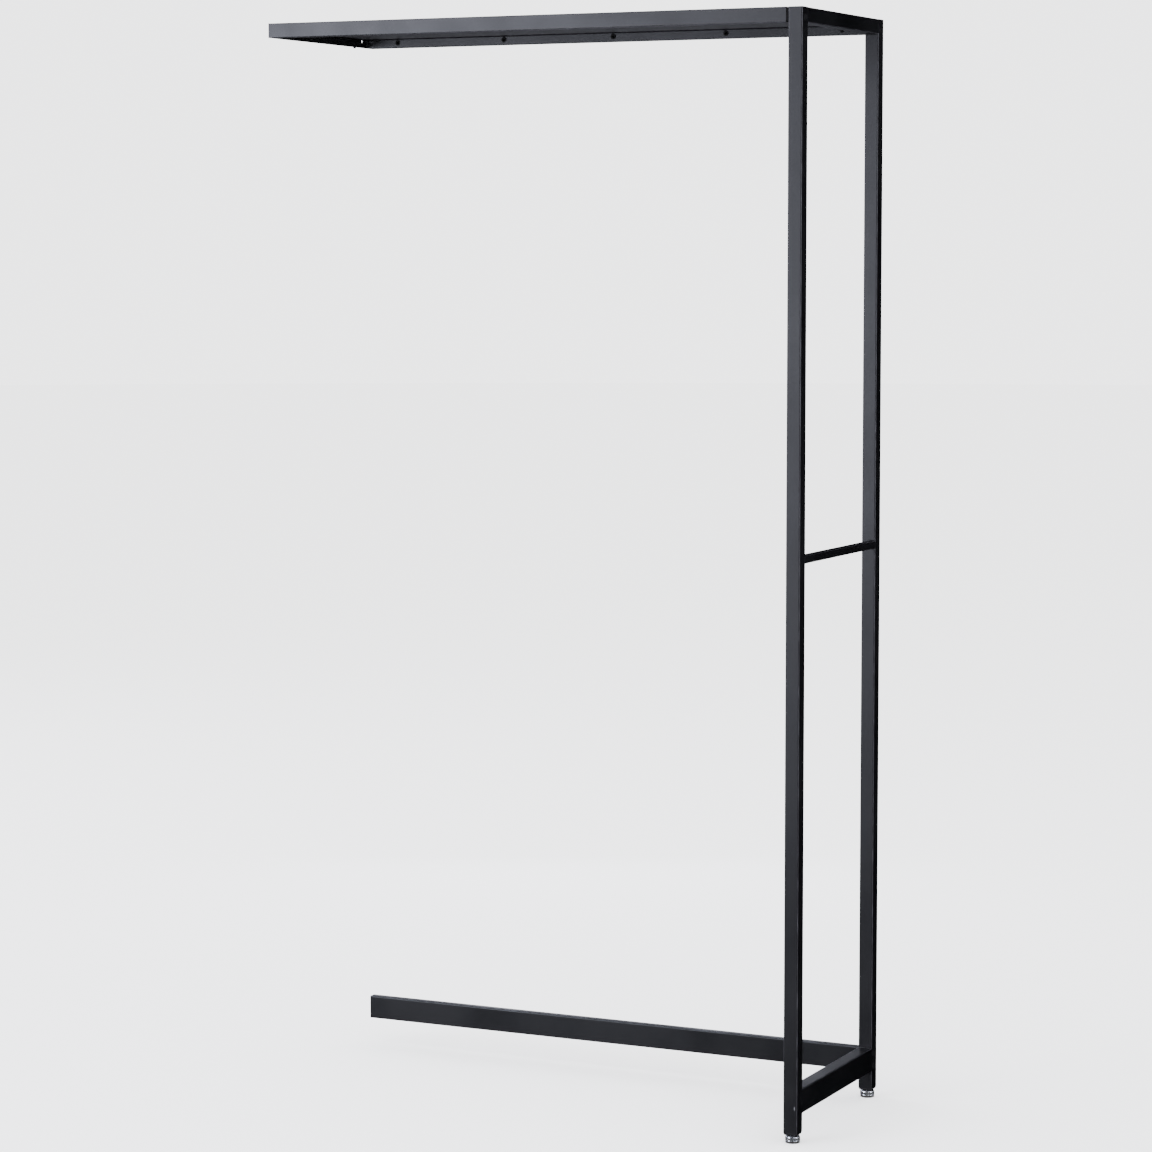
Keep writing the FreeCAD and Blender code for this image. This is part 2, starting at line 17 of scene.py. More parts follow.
import bmesh
import bpy
import numpy as np
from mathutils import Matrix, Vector


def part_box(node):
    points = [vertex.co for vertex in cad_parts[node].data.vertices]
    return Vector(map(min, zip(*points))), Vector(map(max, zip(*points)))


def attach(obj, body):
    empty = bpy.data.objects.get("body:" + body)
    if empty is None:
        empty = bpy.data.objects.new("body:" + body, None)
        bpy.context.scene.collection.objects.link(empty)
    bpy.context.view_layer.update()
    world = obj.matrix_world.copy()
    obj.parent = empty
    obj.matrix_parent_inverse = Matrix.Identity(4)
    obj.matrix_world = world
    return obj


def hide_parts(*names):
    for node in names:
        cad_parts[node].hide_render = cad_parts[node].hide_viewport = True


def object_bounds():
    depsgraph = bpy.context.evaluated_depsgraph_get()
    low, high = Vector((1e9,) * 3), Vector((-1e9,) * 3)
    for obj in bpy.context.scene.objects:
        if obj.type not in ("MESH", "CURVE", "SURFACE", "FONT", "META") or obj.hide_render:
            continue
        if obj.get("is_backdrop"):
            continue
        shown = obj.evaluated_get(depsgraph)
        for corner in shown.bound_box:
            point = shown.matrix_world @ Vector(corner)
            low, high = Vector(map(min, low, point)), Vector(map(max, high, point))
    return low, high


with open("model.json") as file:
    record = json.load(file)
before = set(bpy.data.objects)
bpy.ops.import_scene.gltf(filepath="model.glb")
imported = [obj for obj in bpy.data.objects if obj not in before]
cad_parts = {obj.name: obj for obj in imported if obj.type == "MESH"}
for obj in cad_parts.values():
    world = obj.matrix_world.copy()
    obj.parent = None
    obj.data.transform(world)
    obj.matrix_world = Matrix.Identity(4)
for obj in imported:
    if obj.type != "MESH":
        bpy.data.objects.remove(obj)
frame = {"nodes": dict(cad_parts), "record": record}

cad_low, cad_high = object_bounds()
centre = (cad_low + cad_high) / 2
MM = 0.001
print(len(frame["nodes"]), "CAD parts, size in mm:", [round(side / MM) for side in cad_high - cad_low])

# %% [markdown]
# ## Camera
#
# The bay is seen from its right front, from a little above the middle, through a long lens. A long lens keeps
# the posts nearly parallel. The camera could be turned down to take in the feet, but then the posts would
# lean together. So it tilts only a little, and the lens shift brings the rest of the frame into the picture.

# %% Camera
CAMERA_TURN = np.radians(25.5)  # round towards the end frame
CAMERA_TILT = np.radians(4.5)  # down from level
CAMERA_FROM_CENTRE = Vector((3.128, -6.547, 0.648))  # metres
SENSOR_WIDTH, FOCAL_LENGTH = 36.0, 108.4  # millimetres
SHIFT = -0.044  # share of the picture's width; negative looks lower

camera_data = bpy.data.cameras.new("camera")
camera_data.sensor_width = SENSOR_WIDTH
camera_data.lens = FOCAL_LENGTH
camera_data.shift_y = SHIFT
camera = bpy.data.objects.new("camera", camera_data)
camera.location = centre + CAMERA_FROM_CENTRE
camera.rotation_euler = (np.pi / 2 - CAMERA_TILT, 0, CAMERA_TURN)
bpy.context.scene.collection.objects.link(camera)
bpy.context.scene.camera = camera
print("camera", round((camera.location - centre).length, 2), "m from the middle of the bay")

# %% [markdown]
# ## Floor and studio light
#
# Black steel shows almost no colour of its own: what is seen on it is the reflection of the room. A pale room
# all round would turn it grey, so it is given a dark studio to reflect, with a few soft lights in it. Here
# the floor and sky are plain and pale to look at, but reflections don't see them, only the lights. One big
# light at the left front gives the front faces their blue-grey sheen and leaves the end faces black, with a
# small one below it for the lower half of the posts. The other lights are weaker and show the shape from the
# sides, from behind and from above.

# %% Floor and sky
FLOOR_RADIUS = 40.0
FLOOR_PAINT, SKY_COLOUR = (0.95, 0.95, 0.95, 1), (0.98, 0.985, 1.0, 1)
SKY_STRENGTH = 3.4

bpy.ops.mesh.primitive_circle_add(vertices=96, radius=FLOOR_RADIUS, fill_type="NGON", location=(0, 0, 0))
floor = bpy.context.object
floor.name = "studio_floor"
floor_paint = bpy.data.materials.new("studio_floor_paint")
floor_paint.use_nodes = True
floor_shader = floor_paint.node_tree.nodes["Principled BSDF"]
floor_shader.inputs["Base Color"].default_value = FLOOR_PAINT
floor_shader.inputs["Roughness"].default_value = 0.9
floor_shader.inputs["Specular IOR Level"].default_value = 0.0
floor.data.materials.append(floor_paint)
floor.visible_glossy = False
floor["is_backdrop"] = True

sky = bpy.data.worlds.new("studio_sky")
sky.use_nodes = True
sky.node_tree.nodes["Background"].inputs["Color"].default_value = SKY_COLOUR
sky.node_tree.nodes["Background"].inputs["Strength"].default_value = SKY_STRENGTH
sky.cycles_visibility.glossy = False
bpy.context.scene.world = sky
print("floor and sky, hidden from reflections")

# %% [markdown]
# ## Soft lights
#
# A product studio lights black metal with softboxes: large, even panels, whose reflection is a wide sheen
# with no hard edge. Each is an area light that faces the middle of the bay. They differ only in place, size
# and power, so they are rows of one table.

# %% Soft lights
COOL_WHITE = (0.84, 0.86, 1.0)
SOFTBOXES = (  # name, azimuth, elevation, distance, wide, tall, power
    ("front_left_softbox", -37, 11, 6.5, 3.2, 3.6, 430),
    ("front_low_softbox", -23, -2, 6.5, 1.4, 1.1, 62),
    ("right_softbox", 84, 5, 7.0, 2.4, 2.6, 150),
    ("right_fill_softbox", 50, 20, 7.0, 2.4, 1.8, 50),
    ("right_rear_softbox", 118, 6, 7.0, 2.0, 2.6, 14),
    ("low_rear_softbox", 205, -10, 3.0, 1.6, 0.6, 8),
    ("left_rear_softbox", 250, 20, 7.0, 3.0, 3.0, 150),
    ("overhead_softbox", -20, 82, 4.5, 2.6, 2.6, 60),
)


def softbox(name, azimuth, elevation, distance, wide, tall, power):
    """Hang a soft light facing the bay, at centre + distance (sin a cos e, -cos a cos e, sin e) for azimuth a
    and elevation e. Azimuth 0 is in front and 90 at the end frame. Degrees, metres and watts."""
    a, e = np.radians(azimuth), np.radians(elevation)
    away = Vector((np.sin(a) * np.cos(e), -np.cos(a) * np.cos(e), np.sin(e)))
    lamp = bpy.data.lights.new(name, "AREA")
    lamp.shape = "RECTANGLE"
    lamp.size, lamp.size_y = wide, tall
    lamp.energy = power
    lamp.color = COOL_WHITE
    light = bpy.data.objects.new(name, lamp)
    light.location = centre + away * distance
    light.rotation_euler = away.to_track_quat("Z", "Y").to_euler()
    light.visible_camera = False
    bpy.context.scene.collection.objects.link(light)


for row in SOFTBOXES:
    softbox(*row)
print(len(bpy.data.lights), "soft lights")

# %% [markdown]
# ## Node helpers
#
# Every finish below is a small tree of nodes that reads Object coordinates, in metres. Wiring nodes by hand
# takes many lines, so one helper adds a node and fills its inputs: a plain value is set, and an output of
# another node is linked.

# %% Node helpers


def add(tree, kind, inputs=None, **settings):
    """Add a node, set its properties, and set or link its inputs by name or number."""
    made = tree.nodes.new(f"ShaderNode{kind}")
    for name, value in settings.items():
        setattr(made, name, value)
    for name, value in (inputs or {}).items():
        if isinstance(value, bpy.types.NodeSocket):
            tree.links.new(value, made.inputs[name])
        else:
            made.inputs[name].default_value = value
    return made


def new_finish(name, **values):
    """Start a material; values are constants on its shader, with underscores for spaces in their names."""
    finish = bpy.data.materials.new(name)
    finish.use_nodes = True
    shader = finish.node_tree.nodes["Principled BSDF"]
    for socket, value in values.items():
        shader.inputs[socket.replace("_", " ")].default_value = value
    place = add(finish.node_tree, "TexCoord").outputs["Object"]
    return finish, finish.node_tree, shader, place


def noise(tree, place, scale, detail=2.0):
    """Noise from 0 to 1; scale is in features per metre."""
    return add(tree, "TexNoise", {"Vector": place, "Scale": scale, "Detail": detail}).outputs["Fac"]


def between(tree, value, low, high, to_low=0.0, to_high=1.0):
    """Map a value from one range to another, smoothly and without leaving the second range."""
    inputs = {"Value": value, "From Min": low, "From Max": high, "To Min": to_low, "To Max": to_high}
    return add(tree, "MapRange", inputs, interpolation_type="SMOOTHSTEP").outputs["Result"]


def mix(tree, share, first, second):
    """Mix two colours; each is three numbers or a node's output."""
    ends = [c if isinstance(c, bpy.types.NodeSocket) else (*c, 1) for c in (first, second)]
    made = add(tree, "Mix", {0: share, 6: ends[0], 7: ends[1]}, data_type="RGBA")
    return made.outputs[2]


def times(tree, first, second):
    """Multiply two values."""
    return add(tree, "Math", {0: first, 1: second}, operation="MULTIPLY").outputs["Value"]


def bump(tree, shader, height, depth, strength=1.0):
    """Roughen a shader's surface by a height from 0 to 1; depth is the height's real size in metres."""
    made = add(tree, "Bump", {"Height": height, "Distance": depth, "Strength": strength})
    tree.links.new(made.outputs["Normal"], shader.inputs["Normal"])


print("helpers ready")

# %% [markdown]
# ## Where edges wear and take a painted highlight
#
# A coat is thinner on an edge, and edges are what hands and trolleys touch. On the powder coat the pale colour
# given to the edges is also a painted highlight, standing in for the line of light that a rounded corner
# catches. The CAD tubes lie along the axes and their edges are rounded, so the surface normal tells where an
# edge is: on a flat face its largest component is 1, and on a rounded corner it is less. Pointiness would need
# joined vertices, which CAD meshes don't have. The computed pieces carry their own attribute, bend, which says
# how sharply the surface turns.

# %% Edge masks
# On the powder coat these corners take a painted highlight as well as wear; on zinc and blackened steel only
# wear.
ROUNDED, FLAT = 0.78, 0.985  # the normal's largest component on a worn corner, and where wear ends
LEAST_EDGE_SHARE = 0.45  # share of the wear that is left in its weakest places


def edge_of_tube(tree):
    """1 on the rounded corners of parts that lie along the axes, 0 on their flat faces."""
    normal = add(tree, "TexCoord").outputs["Normal"]
    size = add(tree, "VectorMath", {0: normal}, operation="ABSOLUTE").outputs["Vector"]
    axes = add(tree, "SeparateXYZ", {"Vector": size}).outputs
    larger = add(tree, "Math", {0: axes["X"], 1: axes["Y"]}, operation="MAXIMUM").outputs["Value"]
    largest = add(tree, "Math", {0: larger, 1: axes["Z"]}, operation="MAXIMUM").outputs["Value"]
    return between(tree, largest, ROUNDED, FLAT, 1.0, 0.0)


def edge_of_piece(tree):
    """The attribute that each computed piece carries: 1 where its surface turns sharply."""
    return add(tree, "Attribute", attribute_name="bend").outputs["Fac"]


def broken_edge(tree, edge, place, scale=30.0):
    """Break an edge mask up, so that the edge mark comes and goes along the edge: wear, and on the powder coat
    also the painted highlight.
    """
    return times(tree, edge, between(tree, noise(tree, place, scale, 4.0), 0.4, 0.65, LEAST_EDGE_SHARE, 1.0))


print("edge masks ready")

# %% [markdown]
# ## Black powder coat
#
# Powder coat is sprayed as dry paint and baked. It flows into a fine orange peel about a millimetre across,
# a little uneven in gloss, and looks slightly blue-grey where it reflects the light. On the corners the film
# is thin and paler, and the paler colour there is also a painted highlight for the line of light on the rounded
# corners. A flat black would look like a hole in the picture: the peel as bump and the uneven roughness make
# the reflections soft and alive.

# %% Powder coat
FILM_DARK, FILM_PALE = (0.0014, 0.0014, 0.0020), (0.0026, 0.0026, 0.0034)
# The corner colour of the coat: a thin, worn film, and a painted highlight where the rounded corners catch
# light.
SPECKLE, THIN_FILM_AND_PAINTED_HIGHLIGHT = (0.006, 0.006, 0.0075), (0.034, 0.034, 0.041)
PEEL_PER_METRE, PEEL_DEPTH = 820.0, 0.06 * MM


def powder_coat(name, edge_mask):
    """Black powder coat; edge_mask is the function that finds the edges that are painted paler, for wear and as
    a painted highlight.
    """
    finish, tree, shader, place = new_finish(name, Specular_IOR_Level=0.42, IOR=1.5)
    cloud = noise(tree, place, 7.0, 3.0)
    grain = noise(tree, place, 1400.0, 2.0)
    film = mix(tree, between(tree, cloud, 0.3, 0.7), FILM_DARK, FILM_PALE)
    speckled = mix(tree, between(tree, grain, 0.55, 0.75), film, SPECKLE)
    # Paler edges: thin worn coat, and a painted highlight along the rounded corners.
    edge = broken_edge(tree, edge_mask(tree), place)
    colour = mix(tree, times(tree, edge, 0.8), speckled, THIN_FILM_AND_PAINTED_HIGHLIGHT)
    tree.links.new(colour, shader.inputs["Base Color"])
    tree.links.new(between(tree, cloud, 0.25, 0.75, 0.36, 0.46), shader.inputs["Roughness"])
    bump(tree, shader, noise(tree, place, PEEL_PER_METRE, 2.0), PEEL_DEPTH, 0.6)
    return finish


tube_coat = powder_coat("powder_coat_on_tube", edge_of_tube)
piece_coat = powder_coat("powder_coat_on_piece", edge_of_piece)
print("powder coat for tubes and for computed pieces")

# %% [markdown]
# ## The chipped front post
#
# The front post has a small mark low down near its right edge. It is taken to be a knock, where a sliver of
# coat about eight millimetres long is gone. A texture could be painted for it, but a chip is a simple shape:
# the distance from its centre, shorter across than along, with noise added so that its outline is ragged.
# Inside it the grey primer shows.

# %% Coat with a chip
post_low, post_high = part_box("front_post")
CHIP_ABOVE_POST_END = 52 * MM
CHIP_FROM_EDGE = 5.5 * MM
CHIP_ACROSS, CHIP_ALONG = 1.3 * MM, 4.2 * MM  # half its size each way
RAGGED_PER_METRE = 420.0
PRIMER = (0.07, 0.07, 0.078)


def chipped_coat(name):
    """Powder coat with one chip on the post's front face."""
    finish = powder_coat(name, edge_of_tube)
    tree = finish.node_tree
    shader = tree.nodes["Principled BSDF"]
    place = add(tree, "TexCoord").outputs["Object"]
    chip_at = (post_high.x - CHIP_FROM_EDGE, post_low.y, post_low.z + CHIP_ABOVE_POST_END)
    away = add(tree, "VectorMath", {0: place, 1: chip_at}, operation="SUBTRACT").outputs["Vector"]
    stretch = (1 / CHIP_ACROSS, 1 / CHIP_ACROSS, 1 / CHIP_ALONG)
    shares = add(tree, "VectorMath", {0: away, 1: stretch}, operation="MULTIPLY").outputs["Vector"]
    distance = add(tree, "VectorMath", {0: shares}, operation="LENGTH").outputs["Value"]
    ragged = add(tree, "Math", {0: distance, 1: noise(tree, place, RAGGED_PER_METRE, 3.0)}, operation="ADD")
    inside = between(tree, ragged.outputs["Value"], 1.35, 1.5, 1.0, 0.0)
    coat = shader.inputs["Base Color"].links[0].from_socket
    tree.links.new(mix(tree, inside, coat, PRIMER), shader.inputs["Base Color"])
    return finish


front_post_coat = chipped_coat("powder_coat_with_chip")
print("chip at", round(CHIP_ABOVE_POST_END / MM), "mm above the end of the post")

# %% [markdown]
# ## Laminate, plastic and rubber
#
# The panel is board with a satin black laminate, which has a fine pearl grain and mirrors at a low angle.
# The foot inserts and hole plugs are moulded nylon from a spark-eroded mould, so they carry an even, fine
# texture. The soles are rubber, duller still, with floor dust rubbed into them. The three differ in grain,
# depth and gloss, so one function with those as its values makes them all.

# %% Satin and matt finishes
DUST = (0.16, 0.155, 0.145)


def dull_finish(name, dark, pale, rough, grain, depth, dust):
    """A satin or matt black: two shades, a range of roughness, grains per metre and their depth, and dust."""
    finish, tree, shader, place = new_finish(name, Specular_IOR_Level=0.35)
    cloud = noise(tree, place, 24.0, 4.0)
    base = mix(tree, between(tree, cloud, 0.3, 0.7), dark, pale)
    patches = times(tree, between(tree, noise(tree, place, 130.0, 5.0), 0.5, 0.75), dust)
    tree.links.new(mix(tree, patches, base, DUST), shader.inputs["Base Color"])
    tree.links.new(between(tree, cloud, 0.25, 0.75, *rough), shader.inputs["Roughness"])
    bump(tree, shader, noise(tree, place, grain, 2.0), depth, 0.7)
    return finish


laminate = dull_finish(
    "satin_laminate", dark=(0.006, 0.006, 0.007), pale=(0.008, 0.008, 0.0095),
    rough=(0.28, 0.34), grain=1500.0, depth=0.02 * MM, dust=0.03,
)
nylon = dull_finish(
    "moulded_nylon", dark=(0.003, 0.003, 0.0035), pale=(0.005, 0.005, 0.006),
    rough=(0.42, 0.52), grain=2200.0, depth=0.05 * MM, dust=0.02,
)
rubber = dull_finish(
    "sole_rubber", dark=(0.012, 0.012, 0.012), pale=(0.02, 0.02, 0.019),
    rough=(0.68, 0.82), grain=900.0, depth=0.1 * MM, dust=0.5,
)
print("laminate, nylon and rubber")

# %% [markdown]
# ## Bright zinc plate
#
# The cups and studs are plated bright: nearly a mirror, faintly blue, with cloudy patches where the bath was
# uneven and fine rings left by pressing and turning. In a dark studio a pure mirror would be black between
# its highlights, so it is set a little short of wholly metallic and keeps a grey of its own. The rings are
# bands across the height, and they are far too shallow to see as steps.

# %% Zinc plate
ZINC_BLUE, ZINC_PALE = (0.66, 0.70, 0.76), (0.80, 0.81, 0.82)
SCUFFED, RUBBED = (0.52, 0.53, 0.55), (0.40, 0.40, 0.41)
RING_SCALE, RING_DEPTH = 700.0, 0.002 * MM


def zinc_plate(name, edge_mask):
    """Bright zinc plate with cloudy patches and fine rings round the upright axis."""
    finish, tree, shader, place = new_finish(name, Metallic=0.96)
    cloud = noise(tree, place, 70.0, 2.0)
    tint = mix(tree, between(tree, cloud, 0.35, 0.65), ZINC_BLUE, ZINC_PALE)
    scuffs = times(tree, between(tree, noise(tree, place, 700.0, 3.0), 0.52, 0.7), 0.2)
    edge = times(tree, broken_edge(tree, edge_mask(tree), place, 300.0), 0.4)
    dulled = mix(tree, edge, mix(tree, scuffs, tint, SCUFFED), RUBBED)
    tree.links.new(dulled, shader.inputs["Base Color"])
    tree.links.new(between(tree, cloud, 0.3, 0.7, 0.18, 0.26), shader.inputs["Roughness"])
    waves = {"Vector": place, "Scale": RING_SCALE, "Distortion": 0.6}
    rings = add(tree, "TexWave", waves, bands_direction="Z")
    bump(tree, shader, rings.outputs["Fac"], RING_DEPTH, 0.3)
    return finish


zinc = zinc_plate("bright_zinc", edge_of_piece)
cad_zinc = zinc_plate("bright_zinc_on_nuts", edge_of_tube)
print("zinc plate")

# %% [markdown]
# ## Blackened steel
#
# The bolts are black oxide, a thin oiled conversion of the steel itself, and the threaded blocks in the tubes
# are steel with a thin black coat. Both are darker and greasier than the powder coat, and steel glints
# through where a corner is rubbed.

# %% Blackened steel
OXIDE_DARK, OXIDE_PALE, BARE_CORNER = (0.0012, 0.0012, 0.0014), (0.003, 0.0029, 0.003), (0.012, 0.012, 0.0125)


def black_steel(name, metallic, rough, gloss):
    """Thin black finish on steel: how metallic it is, its range of roughness, and how much it reflects."""
    finish, tree, shader, place = new_finish(name, Metallic=metallic, Specular_IOR_Level=gloss)
    cloud = noise(tree, place, 120.0, 4.0)
    base = mix(tree, between(tree, cloud, 0.3, 0.7), OXIDE_DARK, OXIDE_PALE)
    edge = broken_edge(tree, edge_of_tube(tree), place, 260.0)
    tree.links.new(mix(tree, edge, base, BARE_CORNER), shader.inputs["Base Color"])
    tree.links.new(between(tree, cloud, 0.3, 0.7, *rough), shader.inputs["Roughness"])
    bump(tree, shader, noise(tree, place, 1900.0, 3.0), 0.02 * MM, 0.6)
    return finish


black_oxide = black_steel("black_oxide", metallic=0.85, rough=(0.32, 0.5), gloss=0.5)
block_coat = black_steel("coated_block", metallic=0.0, rough=(0.6, 0.75), gloss=0.12)
print("blackened steel")

# %% [markdown]
# ## Dress the CAD parts
#
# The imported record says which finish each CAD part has, so one loop gives them all their material. The part's
# mesh stays as it is: only its material changes.

# %% Finish every CAD part
FINISH_OF_SLOT = {
    "black_powder_coat": tube_coat,
    "panel_laminate": laminate,
    "zinc_plated_steel": cad_zinc,
    "black_oxide_steel": black_oxide,
    "block_steel": block_coat,
    "black_plastic": nylon,
    "sole_rubber": rubber,
}
slot_of = {part["node"]: part["material_slot"] for part in frame["record"]["subparts"]}
for name, part in frame["nodes"].items():
    part.data.materials.clear()
    part.data.materials.append(FINISH_OF_SLOT[slot_of[name]])
frame["nodes"]["front_post"].data.materials[0] = front_post_coat
print(len(slot_of), "CAD parts dressed")

# %% [markdown]
# ## Surfaces from grids
#
# All new pieces are surfaces on a grid: a profile with rows of points, carried round or along a path in
# columns. The whole grid is one numpy array, so a piece is a formula and not a list of vertices. This cell
# turns grids into a mesh. Rows that meet at a pole have many points in one place; merging them closes the
# pole, and recalculating the normals turns every face outwards. It also stores how sharply the surface turns
# along the profile, for the worn edges.

# %% From grids to a piece
MERGE_WITHIN = 2e-6  # metres


def unit(vectors):
    """Vectors at length 1; one of no length stays as it is."""
    length = np.linalg.norm(vectors, axis=-1, keepdims=True)
    return vectors / np.maximum(length, 1e-12)


def bend_of(grid, ring):
    """How sharply each point's profile turns: 4 (1 - cos of the angle between the steps before and after it),
    held under 1."""
    before = unit(grid - np.roll(grid, 1, 0))
    after = unit(np.roll(grid, -1, 0) - grid)
    bend = 1 - (before * after).sum(-1)
    if not ring:
        bend[[0, -1]] = 0
    return np.clip(bend * 4, 0, 1)


def faces_of(rows, columns, ring, first):
    """Four-sided faces between neighbouring points; columns always close, rows only in a ring."""
    index = np.arange(rows * columns).reshape(rows, columns) + first
    index = np.concatenate([index, index[:, :1]], axis=1)
    if ring:
        index = np.concatenate([index, index[:1]], axis=0)
    corners = index[:-1, :-1], index[1:, :-1], index[1:, 1:], index[:-1, 1:]
    return np.stack(corners, axis=-1).reshape(-1, 4)


def make_piece(name, grids, finish, body, replaced=(), ring=False, sharp=35.0):
    """Build one piece from grids of shape (rows, columns, 3) and let it ride on a CAD body."""
    sizes = [grid.shape[0] * grid.shape[1] for grid in grids]
    firsts = np.cumsum([0] + sizes[:-1])
    faces = np.concatenate([faces_of(*grid.shape[:2], ring, n) for grid, n in zip(grids, firsts)])
    points = np.concatenate([grid.reshape(-1, 3) for grid in grids])
    bend = np.concatenate([bend_of(grid, ring).ravel() for grid in grids])

    mesh = bpy.data.meshes.new(name)
    mesh.from_pydata(points, [], faces)
    mesh.attributes.new("bend", "FLOAT", "POINT").data.foreach_set("value", bend.astype(np.float32))
    joined = bmesh.new()
    joined.from_mesh(mesh)
    bmesh.ops.remove_doubles(joined, verts=joined.verts, dist=MERGE_WITHIN)
    bmesh.ops.recalc_face_normals(joined, faces=joined.faces)
    joined.to_mesh(mesh)
    joined.free()
    mesh.shade_smooth()
    mesh.set_sharp_from_angle(angle=np.radians(sharp))

    piece = bpy.data.objects.new(name, mesh)
    bpy.context.scene.collection.objects.link(piece)
    mesh.materials.append(finish)
    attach(piece, body)
    if replaced:
        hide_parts(*replaced)
    print(f"{name}: {len(mesh.polygons)} faces")


# %% [markdown]
# ## Rounded profiles and turned shapes
#
# A real edge always has a small radius, and that radius catches the light. A profile is given by its corners
# and a rounding at each. A corner of rounding 0 stays sharp. Turning the profile about an axis gives the cup,
# the sole, the plugs and the rivet nuts.

# %% Profiles and turning


def rounded(corners, rounding, steps=6, ring=False):
    """Corners joined by straight runs; each corner becomes the curve (1-t)²a + 2t(1-t)c + t²b,
    where a and b lie the rounding away from the corner c on its two sides."""
    corners = np.asarray(corners, float)
    reach = np.broadcast_to(np.asarray(rounding, float), len(corners))[:, None]
    a = corners + unit(np.roll(corners, 1, 0) - corners) * reach
    b = corners + unit(np.roll(corners, -1, 0) - corners) * reach
    t = np.linspace(0, 1, steps)[:, None]
    curve = (1 - t) ** 2 * a[:, None] + 2 * t * (1 - t) * corners[:, None] + t**2 * b[:, None]
    points = curve.reshape(-1, corners.shape[1])
    return points if ring else points[steps - 1 : len(points) - steps + 1]


def profile_of(rows, steps=6, ring=False):
    """A rounded profile from rows of (radius, height, rounding)."""
    rows = np.array(rows, float)
    return rounded(rows[:, :2], rows[:, 2], steps, ring)


# the order of the coordinates that lays an upright shape along each axis
AXES_FIRST = {"Z": [0, 1, 2], "X": [2, 0, 1], "Y": [1, 2, 0]}


def lathe(profile, around=72, axis="Z"):
    """Turn a profile of (radius r, height h) about an axis: (r cos a, r sin a, h) for a from 0 to 2 pi."""
    a = np.linspace(0, 2 * np.pi, around, endpoint=False)
    r, h = profile[:, :1], profile[:, 1:]
    points = np.stack([r * np.cos(a), r * np.sin(a), np.broadcast_to(h, (len(h), around))], axis=-1)
    return points[..., AXES_FIRST[axis]]


print("profiles and lathe ready")

# %% [markdown]
# ## Levelling feet: pressed cups
#
# Each foot is a steel cup, round-shouldered, that turns with its stud on a rubber sole. It is the brightest
# thing on the object, so its profile matters: a broad shoulder that mirrors the lights, a small bead pressed
# in above the rim, and a rim rolled under. The profile is turned about the post's axis. The CAD cup gives
# the radius and the heights.

# %% Cups
SHOULDER, RIM_ROLL, EDGE = 4.6 * MM, 1.2 * MM, 0.3 * MM  # roundings
BEAD_HEIGHT, BEAD_HALF = 2.3 * MM, 0.7 * MM  # the pressed bead: its middle above the rim, and half its height
BEAD_DEPTH, BEAD_EDGE = 0.35 * MM, 0.25 * MM
CUP_HOLE, CUP_INNER = 5.15 * MM, 11.3 * MM  # radii
SOLE_GAP = 0.3 * MM  # between cup and sole


def axis_of(node):
    """The upright axis of a CAD part, as a point on the floor."""
    low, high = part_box(node)
    return np.array([(low.x + high.x) / 2, (low.y + high.y) / 2, 0])


for end in ("front", "rear"):
    low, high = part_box(f"{end}_foot_cup")
    radius = (high.x - low.x) / 2
    rim, top = low.z, high.z
    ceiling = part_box(f"{end}_foot_sole")[1].z + SOLE_GAP
    bead = rim + BEAD_HEIGHT
    section = [
        (CUP_HOLE, top, EDGE),
        (radius, top, SHOULDER),
        (radius, bead + BEAD_HALF, BEAD_EDGE),
        (radius - BEAD_DEPTH, bead, BEAD_EDGE),
        (radius, bead - BEAD_HALF, BEAD_EDGE),
        (radius, rim, RIM_ROLL),
        (CUP_INNER, rim, EDGE),
        (CUP_INNER, ceiling, EDGE),
        (CUP_HOLE, ceiling, EDGE),
    ]
    cup = lathe(profile_of(section, steps=8, ring=True), around=96) + axis_of(f"{end}_foot_cup")
    make_piece(
        f"{end}_foot_pressed_cup", [cup], zinc, f"{end}_foot_screw",
        [f"{end}_foot_cup"], ring=True,
    )

# %% [markdown]
# ## Levelling feet: threaded studs
#
# The stud is an M10 thread. A screw thread is one surface: the radius falls from crest to root and back once
# per pitch up the stud, and the pattern climbs one pitch for each turn. So the radius is a function of the
# height and the angle, and the whole thread is one array. A turn of the cup moves the foot by one pitch.

# %% Threaded studs
PITCH = 1.5 * MM
THREAD_DEPTH = 0.92 * MM
THREAD_FLAT = 0.15  # how far s is cut off at crest and root
LEAD_RADIUS = 4.0 * MM  # where the chamfer at each end starts


def thread(radius, low, high, rows_per_pitch=10, around=40):
    """Radius = crest - depth * s, where s goes 0, 1, 0 over one pitch of (height / pitch - angle / 2 pi),
    flat at crest and root, and the radius is held under a 45 degree chamfer at both ends."""
    rows = int((high - low) / PITCH * rows_per_pitch)
    h = np.linspace(low, high, rows)[:, None]
    a = np.linspace(0, 2 * np.pi, around, endpoint=False)
    phase = (h / PITCH - a / (2 * np.pi)) % 1.0
    slope = np.clip(np.abs(2 * phase - 1) * (1 + 2 * THREAD_FLAT) - THREAD_FLAT, 0, 1)
    lead = LEAD_RADIUS + np.minimum(h - low, high - h)
    r = np.minimum(radius - THREAD_DEPTH * slope, lead)
    points = np.stack([r * np.cos(a), r * np.sin(a), np.broadcast_to(h, r.shape)], axis=-1)
    poles = np.zeros((2, 1, around, 3))
    poles[0, ..., 2] = low
    poles[1, ..., 2] = high
    return np.concatenate([poles[0], points, poles[1]])


for end in ("front", "rear"):
    low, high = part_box(f"{end}_foot_stud")
    stud = thread((high.x - low.x) / 2, low.z, high.z) + axis_of(f"{end}_foot_stud")
    make_piece(
        f"{end}_foot_threaded_stud", [stud], zinc, f"{end}_foot_screw",
        [f"{end}_foot_stud"], sharp=50.0,
    )

